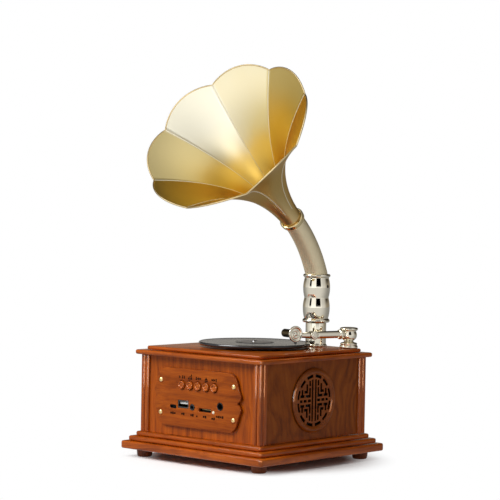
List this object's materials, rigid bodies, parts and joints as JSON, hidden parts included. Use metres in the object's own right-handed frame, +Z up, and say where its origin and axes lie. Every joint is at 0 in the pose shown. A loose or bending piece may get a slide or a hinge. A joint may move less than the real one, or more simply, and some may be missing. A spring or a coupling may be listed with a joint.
{
  "type": "horn loudspeaker",
  "caption": "Gramophone-style loudspeaker: square stepped wooden cabinet with a control plate, round lattice grilles, a record, a tone arm and a swivelling petal horn on a turned post.",
  "frame": {"origin": "centre of the base board's underside, between the four feet", "axes": "+Z up, -Y out of the control plate, +X out of the right grille, on the tone arm's side"},
  "size_m": [0.2219, 0.2379, 0.3918],
  "materials": {
    "lacquered_wood": "glossy reddish orange-brown lacquer over fine grain",
    "plate_wood": "satin lacquer over horizontal grain",
    "grille_wood": "satin lacquer",
    "foot_wood": "dark satin lacquer",
    "button_wood": "satin lacquer",
    "brass": "polished",
    "champagne_gold": "satin champagne gold",
    "champagne_chrome": "polished warm plating",
    "satin_champagne": "satin champagne",
    "socket_steel": "nickel plated",
    "platter_steel": "turned",
    "black_plastic": "moulded",
    "record_vinyl": "gloss rim, finely grooved face",
    "grille_cloth": "open weave",
    "clear_lens": "milky clear",
    "circuit_green": "solder mask",
    "battery_wrap": "shrink wrap",
    "driver_steel": "plated pressing",
    "paper_cone": "pressed paper",
    "needle_steel": "dark polished"
  },
  "bodies": {
    "cabinet": {"base_board": "lacquered_wood", "lower_step_board": "lacquered_wood", "upper_step_board": "lacquered_wood", "lower_top_board": "lacquered_wood", "upper_top_board": "lacquered_wood", "front_panel": "lacquered_wood", "rear_panel": "lacquered_wood", "left_panel": "lacquered_wood", "right_panel": "lacquered_wood", "front_left_post": "lacquered_wood", "front_right_post": "lacquered_wood", "rear_left_post": "lacquered_wood", "rear_right_post": "lacquered_wood", "control_plate": "plate_wood", "left_grille": "grille_wood", "right_grille": "grille_wood", "front_left_foot": "foot_wood", "front_right_foot": "foot_wood", "rear_left_foot": "foot_wood", "rear_right_foot": "foot_wood", "plate_screw_1": "brass", "plate_screw_2": "brass", "plate_screw_3": "brass", "plate_screw_4": "brass", "horn_post": "champagne_chrome", "usb_socket": "socket_steel", "micro_usb_socket": "socket_steel", "card_slot": "socket_steel", "aux_jack": "socket_steel", "mic_jack": "black_plastic", "throat_duct": "black_plastic", "left_grille_cloth": "grille_cloth", "right_grille_cloth": "grille_cloth", "indicator_lens": "clear_lens", "circuit_board": "circuit_green", "battery_pack": "battery_wrap", "left_driver_frame": "driver_steel", "right_driver_frame": "driver_steel", "horn_driver": "driver_steel", "left_driver_cone": "paper_cone", "right_driver_cone": "paper_cone", "arm_base": "champagne_chrome"},
    "turntable": {"platter": "platter_steel", "record": "record_vinyl"},
    "horn": {"horn_collar": "champagne_chrome", "grub_screw": "needle_steel", "horn_elbow": "satin_champagne", "cup_ring": "champagne_chrome", "horn_stem": "champagne_gold", "horn_bell": "champagne_gold"},
    "tone_arm": {"arm_head": "champagne_chrome", "arm_tube": "champagne_chrome"},
    "pickup": {"arm_neck": "champagne_chrome", "sound_box": "champagne_chrome", "needle": "needle_steel"},
    "button_1_body": {"button_1": "button_wood"},
    "button_2_body": {"button_2": "button_wood"},
    "button_3_body": {"button_3": "button_wood"},
    "button_4_body": {"button_4": "button_wood"},
    "button_5_body": {"button_5": "button_wood"}
  },
  "joints": [
    {"name": "record_spin", "type": "hinge", "parent": "cabinet", "child": "turntable", "pos_m": [0, 0, 0.1045], "axis": [0, 0, 1], "continuous": true},
    {"name": "horn_swivel", "type": "hinge", "parent": "cabinet", "child": "horn", "pos_m": [0.0275, 0.0632, 0.1275], "axis": [0, 0, 1], "continuous": true},
    {"name": "arm_swing", "type": "hinge", "parent": "cabinet", "child": "tone_arm", "pos_m": [0.0675, 0.0675, 0.1111], "axis": [0, 0, 1], "range_deg": [-28, 14]},
    {"name": "pickup_lift", "type": "hinge", "parent": "tone_arm", "child": "pickup", "pos_m": [0.05641, 0.0243, 0.1178], "axis": [-0.9686, 0.2487, 0], "range_deg": [0, 70]},
    {"name": "button_1_press", "type": "slide", "parent": "cabinet", "child": "button_1_body", "axis": [0, 1, 0], "range_m": [0, 0.0008], "stiffness_N_per_m": 500},
    {"name": "button_2_press", "type": "slide", "parent": "cabinet", "child": "button_2_body", "axis": [0, 1, 0], "range_m": [0, 0.0008], "stiffness_N_per_m": 500},
    {"name": "button_3_press", "type": "slide", "parent": "cabinet", "child": "button_3_body", "axis": [0, 1, 0], "range_m": [0, 0.0008], "stiffness_N_per_m": 500},
    {"name": "button_4_press", "type": "slide", "parent": "cabinet", "child": "button_4_body", "axis": [0, 1, 0], "range_m": [0, 0.0008], "stiffness_N_per_m": 500},
    {"name": "button_5_press", "type": "slide", "parent": "cabinet", "child": "button_5_body", "axis": [0, 1, 0], "range_m": [0, 0.0008], "stiffness_N_per_m": 500}
  ]
}
